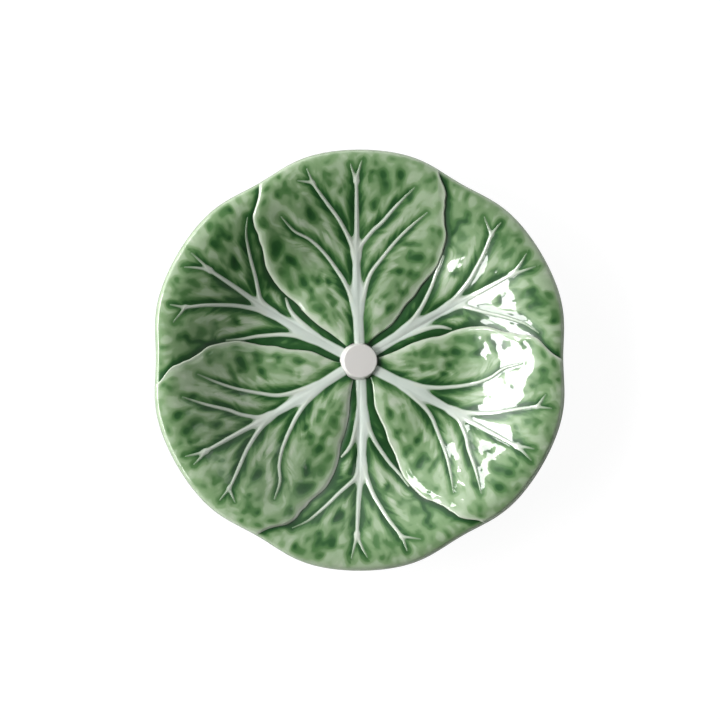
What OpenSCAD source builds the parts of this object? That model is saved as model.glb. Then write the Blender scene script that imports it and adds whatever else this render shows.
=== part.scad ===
// Bread and butter plate in the shape of a cabbage: six glazed leaves round a stalk button, on a shallow dish.
// Three over leaves lap their neighbours, and the three under leaves show between them.
// The origin is on the table under the middle of the plate, and +Z is up.

/* [Plate] */
// Diameter across the lobes of the rim
plate_d = 165; // [150:1:190]
// Height of the rim above the table
plate_h = 24; // [20:0.5:32]
// Diameter of the flat bottom of the well
well_d = 66; // [50:1:76]
// Depth of the notches between the lobes of the rim
notch_depth = 2.8; // [1:0.1:4]
// Thickness of the clay dish under the leaves
dish_t = 2.6; // [2:0.1:4]
// How far the underside of the dish is tucked in below the rim
rim_tuck = 1.2; // [0.6:0.1:3]

/* [Foot ring] */
// Outer diameter of the foot ring
foot_d = 86; // [78:1:96]
// Width of the ring where it joins the dish
foot_w = 6; // [5:0.5:9]
// Height of the ring, which is the gap between the dish and the table
foot_h = 3; // [2:0.5:5]
// Bevel on the two lower edges of the ring
foot_bevel = 1; // [0.4:0.1:1.6]

/* [Leaves] */
// Thickness of a leaf
leaf_t = 2; // [1.5:0.1:3]
// How far the over leaves stand above the under leaves
overlap_step = 1.2; // [0.6:0.1:2]
// How far each half of a leaf swells up between its midrib and its edge
swell_h = 0.9; // [0.2:0.1:1.5]
// How far a leaf is rounded down at the rim
lip_drop = 0.6; // [0.2:0.1:1]

/* [Ribs] */
// Width of a midrib near the button
midrib_w = 3.8; // [2.6:0.1:4.4]
// Height of a midrib above its leaf
midrib_h = 1.1; // [0.8:0.1:2]
// Width of a side vein where it leaves its midrib
vein_w = 1.8; // [1:0.1:2.4]
// Height of a side vein above its leaf
vein_h = 0.7; // [0.5:0.1:1.3]

/* [Button] */
// Diameter of the stalk button at its foot
button_d = 15; // [13:0.2:18]
// Diameter of its flat top
button_top_d = 12.6; // [10:0.2:12.8]
// How far the button stands above the leaves round it
button_proud = 3; // [2:0.1:5]
// Bevel round its flat top
button_bevel = 0.5; // [0.2:0.1:0.8]

/* [Hidden] */

// Colours of the glazes and of the bare clay
leaf_green = [0.36, 0.52, 0.34];
dish_green = [0.30, 0.46, 0.30];
rib_white = [0.82, 0.85, 0.80];
button_white = [0.87, 0.85, 0.83];
bare_clay = [0.80, 0.74, 0.66];

// Leaves are numbered anticlockwise from the back right one, and the odd ones are over leaves
leaf_count = 6;
full_turn = 360;
leaf_pitch = full_turn / leaf_count;

// Columns across half a leaf, rings from the button to the rim, and rings on the underside of the dish
half_cols = 7;
ring_count = 14;
under_rings = 7;
// Facets round the turned pieces
foot_facets = 120;
button_facets = 64;

// Edges of an over leaf, as shares of the plate's radius with the degrees from the leaf's axis
left_edge_shares = [
    [0.10, 42], [0.18, 46], [0.28, 49], [0.42, 47.5], [0.59, 46.5],
    [0.70, 41.5], [0.80, 38], [0.90, 33.5], [1, 30]
];
right_edge_shares = [
    [0.10, 28], [0.16, 35], [0.23, 41.5], [0.34, 39.5], [0.58, 39.5],
    [0.68, 37], [0.77, 32], [0.88, 28.5], [1, 23]
];

// Ribs, as shares of the plate's radius: to the right of the leaf's axis, and outwards along it.
// A midrib also has a share of its full width at each point.
over_midrib_shares = [
    [0, 0.20, 1], [-0.01, 0.29, 1.25], [-0.013, 0.40, 0.88],
    [-0.015, 0.52, 0.72], [-0.013, 0.62, 0.5], [-0.015, 0.86, 0.35]
];
// Side veins: lower left, upper left and its fork, lower right, upper right, and then the midrib's two forks
over_vein_shares = [
    [
        [-0.008, 0.25], [-0.03, 0.29], [-0.05, 0.335], [-0.077, 0.39], [-0.11, 0.44],
        [-0.146, 0.49], [-0.19, 0.54], [-0.245, 0.585], [-0.314, 0.62], [-0.375, 0.685]
    ],
    [
        [-0.014, 0.50], [-0.045, 0.575], [-0.073, 0.63], [-0.107, 0.685],
        [-0.15, 0.74], [-0.192, 0.795], [-0.222, 0.84], [-0.25, 0.90]
    ],
    [[-0.222, 0.84], [-0.26, 0.845], [-0.29, 0.85]],
    [
        [-0.004, 0.26], [0.017, 0.31], [0.038, 0.385], [0.061, 0.435], [0.10, 0.485],
        [0.145, 0.54], [0.19, 0.59], [0.25, 0.645], [0.32, 0.70]
    ],
    [
        [-0.013, 0.52], [0.01, 0.56], [0.03, 0.585], [0.065, 0.625],
        [0.107, 0.66], [0.176, 0.735], [0.26, 0.815]
    ],
    [[-0.015, 0.85], [-0.03, 0.885], [-0.04, 0.92]],
    [[-0.015, 0.85], [-0.005, 0.89], [0.01, 0.935]]
];
under_midrib_shares = [
    [-0.008, 0.20, 1], [-0.012, 0.29, 1.25], [-0.012, 0.40, 0.88],
    [-0.009, 0.50, 0.72], [0, 0.60, 0.5], [0.012, 0.84, 0.35]
];
// The same of an under leaf, whose two lower veins run in under its neighbours
under_vein_shares = [
    [
        [-0.012, 0.25], [-0.03, 0.29], [-0.05, 0.335], [-0.077, 0.39],
        [-0.11, 0.44], [-0.146, 0.49], [-0.19, 0.54]
    ],
    [
        [-0.01, 0.49], [-0.042, 0.585], [-0.069, 0.645], [-0.107, 0.71],
        [-0.146, 0.77], [-0.199, 0.84], [-0.22, 0.90]
    ],
    [[-0.199, 0.84], [-0.237, 0.845], [-0.285, 0.85]],
    [[-0.010, 0.26], [0.013, 0.31], [0.034, 0.385], [0.055, 0.425], [0.078, 0.448]],
    [
        [-0.008, 0.51], [0.02, 0.565], [0.053, 0.593], [0.10, 0.635],
        [0.145, 0.68], [0.20, 0.73], [0.25, 0.77], [0.30, 0.80]
    ],
    [[0.012, 0.83], [-0.01, 0.885], [-0.035, 0.93]],
    [[0.012, 0.83], [0.02, 0.88], [0.035, 0.935]]
];
// Cross-section of a rib, as shares of its width and of its height
rib_section_shares = [[-0.5, 0], [-0.36, 0.62], [0, 1], [0.36, 0.62], [0.5, 0]];
// Width and height left at the tip of a vein
vein_tip_share = 0.45;

// How steeply the notches, the lip and the lapped edges fade
notch_sharpness = 3;
notch_fade = 6;
lip_sharpness = 25;
edge_sharpness = 16;
// Share of the step that an over leaf loses at its very edge
edge_drop_share = 0.5;
// Degrees that the wall has turned through its S curve at the rim, where 180 would be level again
wall_turn = 170;
// How soon the underside of the wall runs side by side with its top
underside_fade = 3;

// The flat land outside the foot ring, and the play round the button and under the ribs
foot_land = 0.5;
button_play = 0.3;
rib_play = 0.05;
// The nose that each bar of a rib puts into the next: its length, and its share of the bar's cross-section
nose_l = 0.2;
nose_share = 0.6;

plate_r = plate_d / 2;
foot_r = foot_d / 2;
button_r = button_d / 2;
well_share = well_d / plate_d;
flat_share = (foot_r + foot_land) / plate_r;
tuck_share = 1 - rim_tuck / plate_r;
inner_share = (button_r + button_play) / plate_r;
floor_z = foot_h + dish_t;
rim_rise = plate_h + lip_drop - overlap_step - leaf_t - floor_z;

// Shares of the radius at which the rings lie, the last two close together to round the lip
ring_shares = [
    for (i = [0:ring_count - 1]) inner_share + (tuck_share - inner_share) * i / (ring_count - 1), 1
];
under_shares = [for (i = [0:under_rings]) flat_share + (tuck_share - flat_share) * i / under_rings];

function is_over(leaf) = leaf % 2 == 1;
function axis(leaf) = leaf_pitch * (leaf + 0.5);
function left_limit(s, leaf) =
    is_over(leaf) ? lookup(s, left_edge_shares) : leaf_pitch - lookup(s, right_edge_shares);
function right_limit(s, leaf) =
    is_over(leaf) ? lookup(s, right_edge_shares) : leaf_pitch - lookup(s, left_edge_shares);

// Angle from the leaf's axis to one of its columns, which crowd towards its edges
function column_angle(s, col, leaf) =
    sin(90 * col / half_cols) * (col > 0 ? left_limit(s, leaf) : right_limit(s, leaf));

// Point of the plate at a share of its radius, with the notches drawn in
function notch(angle) = pow((1 + cos(leaf_count * angle)) / 2, notch_sharpness);
function draw_in(s, angle) = notch_depth * pow(s, notch_fade) * notch(angle);
function spot(s, angle, z) =
    let (r = plate_r * s - draw_in(s, angle)) [r * cos(angle), r * sin(angle), z];

// Height of the dish under the leaves, and of its underside outside the foot ring
function rise(s) =
    s <= well_share ? 0 : (1 - cos(wall_turn * (s - well_share) / (1 - well_share))) / (1 - cos(wall_turn));
function seat_z(s) = floor_z + rim_rise * rise(s);
function under_z(s) =
    seat_z(s) - dish_t - rim_rise * rise(flat_share) * pow((1 - s) / (1 - flat_share), underside_fade);

// Height of a leaf's top, where side is 0 on its axis and 1 on its edges
function top_z(s, side, leaf) =
    let (swell = sin(180 * (s - inner_share) / (1 - inner_share)) * sin(180 * side))
    let (lap = is_over(leaf) ? 1 - edge_drop_share * pow(side, edge_sharpness) : 0)
    seat_z(s) + leaf_t + swell_h * swell + overlap_step * lap - lip_drop * pow(s, lip_sharpness);

// Height of a leaf's top over a point in plan
function turn_from(angle, start) = ((angle - start + 1.5 * full_turn) % full_turn) - full_turn / 2;
function top_over(p, leaf) =
    let (angle = atan2(p.y, p.x))
    let (s = (norm(p) + draw_in(norm(p) / plate_r, angle)) / plate_r)
    let (off = turn_from(angle, axis(leaf)))
    let (side = off > 0 ? off / left_limit(s, leaf) : -off / right_limit(s, leaf))
    top_z(s, min(side, 1), leaf);

// Two triangles for each cell of a grid of points, split along the same diagonal everywhere,
// so that faces which meet have the same triangles
function cell(a, b, c, d) = [[a, b, c], [a, c, d]];
function flipped(faces) = [for (f = faces) [f[2], f[1], f[0]]];
function grid_faces(rows, cols, first) = [
    for (i = [0:rows - 2]) for (j = [0:cols - 2])
        let (a = first + i * cols + j)
        each cell(a, a + 1, a + cols + 1, a + cols)
];
function ring_faces(rows, cols, first) = [
    for (i = [0:rows - 2]) for (j = [0:cols - 1])
        let (a = first + i * cols + j, b = first + i * cols + (j + 1) % cols)
        each cell(a, b, b + cols, a + cols)
];
function fan_faces(loop) = [for (i = [1:len(loop) - 2]) [loop[0], loop[i], loop[i + 1]]];
// A wall between two loops of points that run side by side
function wall_faces(upper, lower) = [
    for (i = [0:len(upper) - 2]) each cell(upper[i], upper[i + 1], lower[i + 1], lower[i])
];

module plate_body() {
    cols = 2 * half_cols * leaf_count;
    rows = len(ring_shares);
    top = [
        for (s = ring_shares) for (leaf = [0:leaf_count - 1]) for (col = [-half_cols:half_cols - 1])
            spot(s, axis(leaf) + column_angle(s, col, leaf), seat_z(s))
    ];
    bottom = [
        for (s = under_shares) for (leaf = [0:leaf_count - 1]) for (col = [-half_cols:half_cols - 1])
            spot(s, axis(leaf) + column_angle(1, col, leaf), under_z(s))
    ];
    bottom_first = len(top);
    rim_top = [for (j = [0:cols]) (rows - 1) * cols + j % cols];
    rim_bottom = [for (j = [0:cols]) bottom_first + under_rings * cols + j % cols];
    faces = concat(
        ring_faces(rows, cols, 0),
        flipped(ring_faces(under_rings + 1, cols, bottom_first)),
        wall_faces(rim_top, rim_bottom),
        flipped(fan_faces([for (j = [0:cols - 1]) j])),
        fan_faces([for (j = [0:cols - 1]) bottom_first + j])
    );
    color(dish_green) polyhedron(points = concat(top, bottom), faces = faces, convexity = 6);
}

module foot_ring() {
    section = [
        [foot_r - foot_w, foot_h], [foot_r - foot_w, foot_bevel], [foot_r - foot_w + foot_bevel, 0],
        [foot_r - foot_bevel, 0], [foot_r, foot_bevel], [foot_r, foot_h]
    ];
    color(bare_clay) rotate_extrude($fn = foot_facets) polygon(section);
}

module centre_button() {
    top_r = button_top_d / 2;
    top = floor_z + leaf_t + button_proud;
    section = [
        [0, floor_z], [button_r, floor_z], [button_r, floor_z + leaf_t],
        [top_r, top - button_bevel], [top_r - button_bevel, top], [0, top]
    ];
    color(button_white) rotate_extrude($fn = button_facets) polygon(section);
}

// One leaf: its underside lies on the dish point for point, and its walls stand against its neighbours
module leaf_blade(leaf) {
    cols = 2 * half_cols + 1;
    rows = len(ring_shares);
    top = [
        for (s = ring_shares) for (col = [-half_cols:half_cols])
            spot(s, axis(leaf) + column_angle(s, col, leaf), top_z(s, abs(sin(90 * col / half_cols)), leaf))
    ];
    bottom = [
        for (s = ring_shares) for (col = [-half_cols:half_cols])
            spot(s, axis(leaf) + column_angle(s, col, leaf), seat_z(s))
    ];
    // The grid's edge, from the button out along the left side, along the rim and back
    edge = concat(
        [for (j = [0:cols - 1]) j],
        [for (i = [1:rows - 1]) i * cols + cols - 1],
        [for (j = [cols - 2:-1:0]) (rows - 1) * cols + j],
        [for (i = [rows - 2:-1:0]) i * cols]
    );
    low_edge = [for (k = edge) k + len(top)];
    faces = concat(
        grid_faces(rows, cols, 0),
        flipped(grid_faces(rows, cols, len(top))),
        flipped(wall_faces(edge, low_edge))
    );
    color(leaf_green) polyhedron(points = concat(top, bottom), faces = faces, convexity = 6);
}

// A rib along points in shares, each with its share of the full width w, as a chain of short arched bars
module rib(leaf, path, w, h) {
    last = len(path) - 1;
    turn = axis(leaf);
    points = [
        for (p = path) plate_r * [p[1] * cos(turn) + p[0] * sin(turn), p[1] * sin(turn) - p[0] * cos(turn)]
    ];
    sections = [
        for (i = [0:last])
            let (along = points[min(i + 1, last)] - points[max(i - 1, 0)])
            let (across = [along.y, -along.x] / norm(along))
            [
                for (q = rib_section_shares)
                    let (p = points[i] + across * q[0] * w * path[i][2])
                    [p.x, p.y, top_over(p, leaf) + rib_play + h * min(path[i][2], 1) * q[1]]
            ]
    ];
    sides = len(rib_section_shares);
    start = [for (j = [0:sides - 1]) j];
    end = [for (j = start) j + 2 * sides];
    faces = concat(flipped(ring_faces(3, sides, 0)), flipped(fan_faces(end)), fan_faces(start));
    for (i = [0:last - 1]) {
        ahead = points[i + 1] - points[i];
        step = concat(ahead * nose_l / norm(ahead), 0);
        heart = [for (j = start) 1] * sections[i + 1] / sides;
        nose = i + 1 < last
            ? [for (p = sections[i + 1]) heart + (p - heart) * nose_share + step]
            : sections[i + 1];
        hull() polyhedron(points = concat(sections[i], sections[i + 1], nose), faces = faces);
    }
}

function tapered(points) = [
    for (i = [0:len(points) - 1])
        [points[i][0], points[i][1], 1 - (1 - vein_tip_share) * i / (len(points) - 1)]
];

// The midrib of a leaf with its side veins and the forks at their tips, as one piece
module rib_tree(leaf) {
    midrib = is_over(leaf) ? over_midrib_shares : under_midrib_shares;
    veins = is_over(leaf) ? over_vein_shares : under_vein_shares;
    color(rib_white) union() {
        rib(leaf, concat([[midrib[0][0], inner_share, 1]], midrib), midrib_w, midrib_h);
        for (vein = veins) rib(leaf, tapered(vein), vein_w, vein_h);
    }
}

module under_leaf_back_right() leaf_blade(0);
module over_leaf_back() leaf_blade(1);
module under_leaf_back_left() leaf_blade(2);
module over_leaf_front_left() leaf_blade(3);
module under_leaf_front() leaf_blade(4);
module over_leaf_front_right() leaf_blade(5);

module ribs_back_right() rib_tree(0);
module ribs_back() rib_tree(1);
module ribs_back_left() rib_tree(2);
module ribs_front_left() rib_tree(3);
module ribs_front() rib_tree(4);
module ribs_front_right() rib_tree(5);

plate_body();
foot_ring();
centre_button();
over_leaf_back();
over_leaf_front_left();
over_leaf_front_right();
under_leaf_back_left();
under_leaf_front();
under_leaf_back_right();
ribs_back();
ribs_front_left();
ribs_front_right();
ribs_back_left();
ribs_front();
ribs_back_right();
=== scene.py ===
import math
from types import SimpleNamespace

import bmesh
import bpy
import numpy as np
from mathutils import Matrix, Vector


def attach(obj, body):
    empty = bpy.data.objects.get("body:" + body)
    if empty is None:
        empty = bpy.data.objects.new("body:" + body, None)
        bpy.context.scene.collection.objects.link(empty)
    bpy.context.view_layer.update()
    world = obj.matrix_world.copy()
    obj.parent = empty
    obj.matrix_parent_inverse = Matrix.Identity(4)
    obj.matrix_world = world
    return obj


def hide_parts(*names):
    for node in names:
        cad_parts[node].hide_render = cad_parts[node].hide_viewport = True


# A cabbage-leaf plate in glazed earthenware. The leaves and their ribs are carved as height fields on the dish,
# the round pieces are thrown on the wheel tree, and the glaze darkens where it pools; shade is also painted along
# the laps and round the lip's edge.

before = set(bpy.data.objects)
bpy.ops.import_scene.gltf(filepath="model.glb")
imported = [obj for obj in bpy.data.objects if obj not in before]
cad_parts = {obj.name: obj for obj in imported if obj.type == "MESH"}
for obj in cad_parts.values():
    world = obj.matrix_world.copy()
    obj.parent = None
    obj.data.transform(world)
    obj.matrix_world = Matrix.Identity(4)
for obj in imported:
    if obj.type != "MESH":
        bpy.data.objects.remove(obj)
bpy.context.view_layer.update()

MM = 0.001

# Sizes of the plate in mm, the same as the solids'
PLATE_R = 82.5
FLOOR_Z = 5.6
RIM_RISE = 15.8
DISH_T = 2.6
LEAF_T = 2.0
LAP_STEP = 1.2
SWELL = 0.9
FOOT_R = 43.0
FOOT_W = 6.0
FOOT_H = 3.0
BUTTON_R = 7.5
BUTTON_TOP_R = 6.3
BUTTON_PROUD = 3.0
NOTCH = 2.8             # at the rim; it fades inwards and narrows by these powers
NOTCH_FADE = 6
NOTCH_POWER = 3
LOBES = 6
LEAF_TURN = math.radians(60)
WALL_TURN = math.radians(170)
# Shares of the plate's radius: where the well ends, the underside's flat part ends, and the leaves begin
WELL = 0.4
FLAT = (FOOT_R + 0.5) / PLATE_R
INNER = (BUTTON_R + 0.05) / PLATE_R

# The edges of an over leaf: share of the radius, degrees from the leaf's axis
LEFT_EDGE = ((.08, 40.0), (.12, 42.8), (.182, 45.7), (.277, 49.2), (.35, 48.9), (.415, 47.5), (.477, 48.1),
             (.54, 47.4), (.587, 46.7), (.635, 45.1), (.70, 41.7), (.759, 39.4), (.803, 38.3), (.859, 36.2),
             (.904, 33.5), (.966, 30.8), (1.0, 30.0))
RIGHT_EDGE = ((.08, 25.5), (.12, 30.0), (.155, 34.7), (.23, 41.4), (.287, 40.6), (.342, 39.5), (.407, 40.3),
              (.459, 39.2), (.522, 39.7), (.582, 39.6), (.629, 38.3), (.677, 37.1), (.732, 34.8), (.765, 32.3),
              (.805, 30.5), (.876, 28.6), (.926, 26.3), (.965, 23.8), (1.0, 23.0))

# Ribs as (right of the axis, outwards, half width), all in shares of the radius.
# The first path is the midrib, and the others leave it or its veins.
OVER_RIBS = (
    ((0, .07, .0253), (-.003, .14, .0253), (-.006, .20, .0253), (-.009, .26, .0287), (-.011, .31, .028),
     (-.013, .40, .022), (-.015, .48, .0173), (-.015, .55, .0143), (-.013, .62, .0127), (-.013, .70, .0113),
     (-.015, .86, .008)),
    ((-.008, .24, .0131), (-.03, .29, .0124), (-.05, .335, .0113), (-.077, .39, .0105), (-.11, .44, .0096),
     (-.146, .49, .009), (-.19, .54, .0084), (-.245, .585, .0075), (-.314, .62, .0065), (-.375, .685, .0037)),
    ((-.014, .50, .0131), (-.045, .575, .0113), (-.073, .63, .0101), (-.107, .685, .0093), (-.15, .74, .0087),
     (-.192, .795, .0075), (-.222, .84, .0067), (-.25, .905, .0032)),
    ((-.222, .84, .0067), (-.26, .846, .0055), (-.295, .852, .0029)),
    ((-.004, .26, .0131), (.017, .31, .012), (.038, .385, .0105), (.061, .435, .0096), (.10, .485, .009),
     (.145, .54, .0084), (.19, .59, .0075), (.25, .645, .0064), (.325, .705, .0032)),
    ((-.013, .52, .0131), (.01, .56, .0109), (.03, .585, .0101), (.065, .625, .0093), (.107, .66, .0087),
     (.176, .735, .0073), (.262, .817, .0032)),
    ((-.015, .85, .0073), (-.03, .885, .0061), (-.042, .925, .0032)),
    ((-.015, .85, .0073), (-.005, .89, .0061), (.010, .94, .0032)),
)
UNDER_RIBS = (
    ((-.006, .07, .0253), (-.010, .16, .0253), (-.012, .22, .026), (-.014, .29, .030), (-.013, .34, .0253),
     (-.012, .42, .022), (-.010, .49, .0206), (-.006, .55, .0149), (0, .62, .0131), (.006, .70, .0113),
     (.012, .84, .008)),
    ((-.012, .24, .0131), (-.03, .29, .0124), (-.05, .335, .0113), (-.077, .39, .0105), (-.11, .44, .0096),
     (-.146, .49, .0087), (-.19, .54, .0073), (-.235, .60, .0044)),
    ((-.010, .48, .0131), (-.042, .58, .0113), (-.069, .645, .0101), (-.107, .71, .0093), (-.146, .77, .0084),
     (-.199, .84, .007), (-.225, .905, .0032)),
    ((-.199, .84, .007), (-.237, .845, .0055), (-.29, .856, .0029)),
    ((-.010, .26, .0131), (.013, .31, .012), (.034, .385, .0105), (.055, .425, .009), (.085, .458, .0051)),
    ((-.008, .51, .0131), (.02, .562, .0113), (.053, .593, .0099), (.10, .635, .0087), (.145, .68, .008),
     (.20, .73, .007), (.25, .77, .0052), (.32, .805, .0026)),
    ((.012, .83, .0073), (-.01, .885, .0061), (-.037, .935, .0032)),
    ((.012, .83, .0073), (.024, .88, .0061), (.037, .94, .0032)),
)

# Dimples where the glaze pools: right, outwards, half sizes across and along, and how dark
OVER_DIMPLES = (
    (.118, .875, .024, .042, 1), (.195, .875, .024, .032, 1), (.055, .876, .013, .022, .5),
    (.072, .741, .024, .027, .9), (.245, .560, .032, .017, .9), (.260, .490, .036, .019, .9),
    (.268, .410, .032, .019, .9), (.190, .425, .027, .015, .8), (.203, .328, .027, .019, .9),
    (.155, .253, .028, .020, .9), (.09, .195, .025, .018, .45), (-.193, .386, .028, .020, .9),
    (-.145, .383, .016, .020, .8), (-.20, .247, .034, .026, .8), (-.12, .28, .020, .018, .6),
    (-.27, .392, .024, .030, .8), (-.337, .468, .034, .027, .9), (-.375, .42, .020, .024, .7),
    (-.40, .53, .028, .042, .8), (-.222, .69, .033, .040, .9), (-.365, .80, .042, .022, .8),
    (-.165, .87, .020, .034, .8), (-.168, .935, .022, .016, .4), (.02, .945, .022, .018, .5),
    (.16, .95, .022, .013, .6), (.26, .94, .022, .014, .4), (.237, .785, .014, .030, .8),
    (.405, .60, .017, .026, .5), (.43, .70, .020, .040, .8), (.33, .86, .026, .018, .5),
    (-.09, .60, .012, .022, .5), (-.32, .60, .020, .014, .5),
)
UNDER_DIMPLES = (
    (.135, .870, .023, .042, 1), (.203, .862, .024, .034, .9), (.09, .738, .023, .026, .9),
    (.178, .935, .025, .014, .7), (.285, .905, .028, .018, .6), (.255, .865, .015, .022, .4),
    (-.345, .795, .036, .022, .9), (-.16, .90, .024, .030, .6), (-.20, .895, .020, .020, .4),
    (-.135, .615, .020, .026, .7), (-.05, .775, .012, .028, .8), (.05, .925, .016, .020, .5),
    (-.27, .72, .026, .018, .6), (.13, .59, .014, .024, .5), (-.085, .855, .014, .030, .5),
    (-.20, .68, .018, .020, .5), (.045, .53, .010, .020, .4), (-.10, .93, .018, .014, .4),
)

# What an over leaf and an under leaf differ in: ribs, dimples, first seed of their noise,
# how deep the glaze lies, and how much the grain changes that
OVER_KIND = (OVER_RIBS, OVER_DIMPLES, 40, .43, .21)
UNDER_KIND = (UNDER_RIBS, UNDER_DIMPLES, 80, .47, .29)

# The carved face, in mm
PILLOW_H = .30          # the blade's rise between its ribs
DITCH_H = .10           # the ditch beside a rib
PUCKER_H = .10
WAVE_H = .22
DIMPLE_H = .16
HOLLOW_H = .10
RIM_LIFT = 1.4          # the lift that flattens the rim
RIM_LIFT_POWER = 5.6
WALL_DIP = .8           # the dip at the foot of the wall
WALL_DIP_AT = .55
WALL_DIP_WIDE = .14
LIP_W = 1.9 / PLATE_R
LIP_ROUND = 2.3
SEAM_TUCK = .12         # how far the lip is tucked in behind the dish's edge, and how deep it goes
SEAM_DEEP = .55

# How deep the glaze lies: 0 where it is thin and pale, 1 where it pools
CREST_GLAZE = -.06
LAP_GLAZE = -.04
RIM_GLAZE = .14
# painted shade: the lip's outermost strip is darkened all round, for the shaded turn of its edge
LIP_PAINTED_SHADE = .60
POOL_GLAZE = .90
HUB_GLAZE = .95

FEATHER_SLANT = 1.75    # mm along a rib for each mm away from it
GRAIN_SLANT = .60       # radians from the midrib


# Ways to shape a value

def unit(x):
    """A value kept between 0 and 1."""
    return np.clip(x, 0, 1)


def above(x):
    """A value kept at 0 or more."""
    return np.clip(x, 0, None)


def bell(x, width, power=2):
    """1 in the middle, fading out over a width."""
    return np.exp(-(x / width) ** power)


def toward(value, target, share):
    """A value moved a share of the way to a target."""
    return value + (target - value) * share


# The dish's form

def rise(s):
    """Rise of the dish under the leaves at a share of its radius, from 0 to 1."""
    t = above((s - WELL) / (1 - WELL)) * WALL_TURN
    return (1 - np.cos(t)) / (1 - math.cos(WALL_TURN))


def seat(s):
    """Height of the dish's top, where the leaves lie on it."""
    return FLOOR_Z + RIM_RISE * rise(s)


def underside(s):
    """Height of the dish's underside, which is flat over the foot."""
    return seat(s) - DISH_T - RIM_RISE * rise(FLAT) * ((1 - s) / (1 - FLAT)) ** 3


def draw_in(s, angle):
    """How far the notches pull the plate in, for an angle from a leaf's axis."""
    return NOTCH * above(s) ** NOTCH_FADE * ((1 - np.cos(LOBES * angle)) / 2) ** NOTCH_POWER


# Noise

STIR_I, STIR_J, STIR_SEED, STIR_AGAIN = 374761393, 668265263, 974634777, 1274126177
WORD, HALF_WORD = 0xffffffff, 0xffff


def scatter(i, j, seed):
    """A settled random value from -1 to 1 for a cell of a plane."""
    h = (i.astype(np.int64) * STIR_I + j.astype(np.int64) * STIR_J + seed * STIR_SEED) & WORD
    h = ((h ^ (h >> 13)) * STIR_AGAIN) & WORD
    return ((h ^ (h >> 16)) & HALF_WORD) / (HALF_WORD / 2) - 1


def ripples(x, y, seed):
    """Smooth noise from -1 to 1 over a plane."""
    ix, iy = np.floor(x), np.floor(y)
    fx, fy = (t ** 3 * (t * (t * 6 - 15) + 10) for t in (x - ix, y - iy))
    low = scatter(ix, iy, seed) * (1 - fx) + scatter(ix + 1, iy, seed) * fx
    high = scatter(ix, iy + 1, seed) * (1 - fx) + scatter(ix + 1, iy + 1, seed) * fx
    return low * (1 - fy) + high * fy


def hammered(x, y, seed):
    """Thumbed hollows scattered over a plane, each of its own depth: 0 outside them, about 1 in the deepest."""
    stray, radius = .34, .36
    ix, iy = np.floor(x), np.floor(y)
    hollow = np.zeros(x.shape)
    for i in (-1, 0, 1):
        for j in (-1, 0, 1):
            cx, cy = ix + i, iy + j
            away = np.hypot(x - cx - .5 - stray * scatter(cx, cy, seed),
                            y - cy - .5 - stray * scatter(cx, cy, seed + 1))
            hollow += bell(away, radius) * unit(.55 + .6 * scatter(cx, cy, seed + 2))
    return hollow


# The leaves' edges

def eased(x, table):
    """Smooth curve through the points of an edge table."""
    px, py = np.array(table, float).T
    slope = np.gradient(py, px)
    k = np.clip(np.searchsorted(px, x) - 1, 0, len(px) - 2)
    h = px[k + 1] - px[k]
    t = unit((x - px[k]) / h)
    return ((2 * t ** 3 - 3 * t ** 2 + 1) * py[k] + (t ** 3 - 2 * t ** 2 + t) * h * slope[k]
            + (3 * t ** 2 - 2 * t ** 3) * py[k + 1] + (t ** 3 - t ** 2) * h * slope[k + 1])


def waver(s, seed):
    """The hand-cut waver of an edge in degrees, slow and quick, which dies out at the middle."""
    slow, quick = ripples(s * 13, s * 0 + .5, seed), ripples(s * 31, s * 0 + .5, seed + 1)
    return (0.6 * slow + 0.22 * quick) * unit(s * 3)


def edges(s, over):
    """Angles from the axis to a leaf's left and right edges, in radians."""
    left = np.radians(eased(s, LEFT_EDGE) + waver(s, 5))
    right = np.radians(eased(s, RIGHT_EDGE) + waver(s, 8))
    if over:
        return left, right
    # An under leaf reaches as far as the edges of its neighbours
    return LEAF_TURN - right, LEAF_TURN - left


# The ribs

def smooth_path(points):
    """A rib's points, with a smooth curve through them."""
    p = np.array(points, float)
    ends = np.vstack([2 * p[0] - p[1], p, 2 * p[-1] - p[-2]])
    out = []
    for i in range(1, len(ends) - 2):
        a, b, c, d = ends[i - 1:i + 3]
        for t in np.linspace(0, 1, 5)[:-1]:
            out.append(.5 * (2 * b + (c - a) * t + (2 * a - 5 * b + 4 * c - d) * t ** 2
                             + (3 * b - a - 3 * c + d) * t ** 3))
    return np.vstack([out, p[-1]])


def rib_run(v, u, path):
    """Distance from one rib's outline, its half width, how far along it the nearest point is, and the side."""
    p = smooth_path(path)
    a, b = p[:-1], p[1:]
    ab = b[:, :2] - a[:, :2]
    length = np.hypot(*ab.T)
    start = np.concatenate([[0], np.cumsum(length)[:-1]])
    best = np.full(v.shape, 1e9)
    half, along, side = np.zeros(v.shape), np.zeros(v.shape), np.zeros(v.shape)
    for i in range(len(a)):
        dv, du = v - a[i, 0], u - a[i, 1]
        t = unit((dv * ab[i, 0] + du * ab[i, 1]) / length[i] ** 2)
        ev, eu = dv - t * ab[i, 0], du - t * ab[i, 1]
        width = a[i, 2] + t * (b[i, 2] - a[i, 2])
        gap = np.hypot(ev, eu) - width
        near = gap < best
        best = np.where(near, gap, best)
        half = np.where(near, width, half)
        along = np.where(near, start[i] + t * length[i], along)
        side = np.where(near, np.sign(ev * ab[i, 1] - eu * ab[i, 0]), side)
    return best * PLATE_R, half * PLATE_R, along * PLATE_R, side


def rib_field(v, u, tree):
    """Distance from the ribs' outline in mm, negative inside, with the nearest rib's half width, and
    each rib's own run. Where ribs part, a smooth minimum webs the fork."""
    runs = [rib_run(v, u, path) for path in tree]
    gaps = np.array([run[0] for run in runs])
    widths = np.take_along_axis(np.array([run[1] for run in runs]), gaps.argmin(0)[None], 0)[0]
    web = np.clip(2.5 * widths, .35, 2.6)
    joined = gaps[0]
    for gap in gaps[1:]:
        h = above(web - np.abs(joined - gap)) / web
        joined = np.minimum(joined, gap) - h ** 2 * web / 4
    return joined, widths, runs


# A leaf's face

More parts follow.
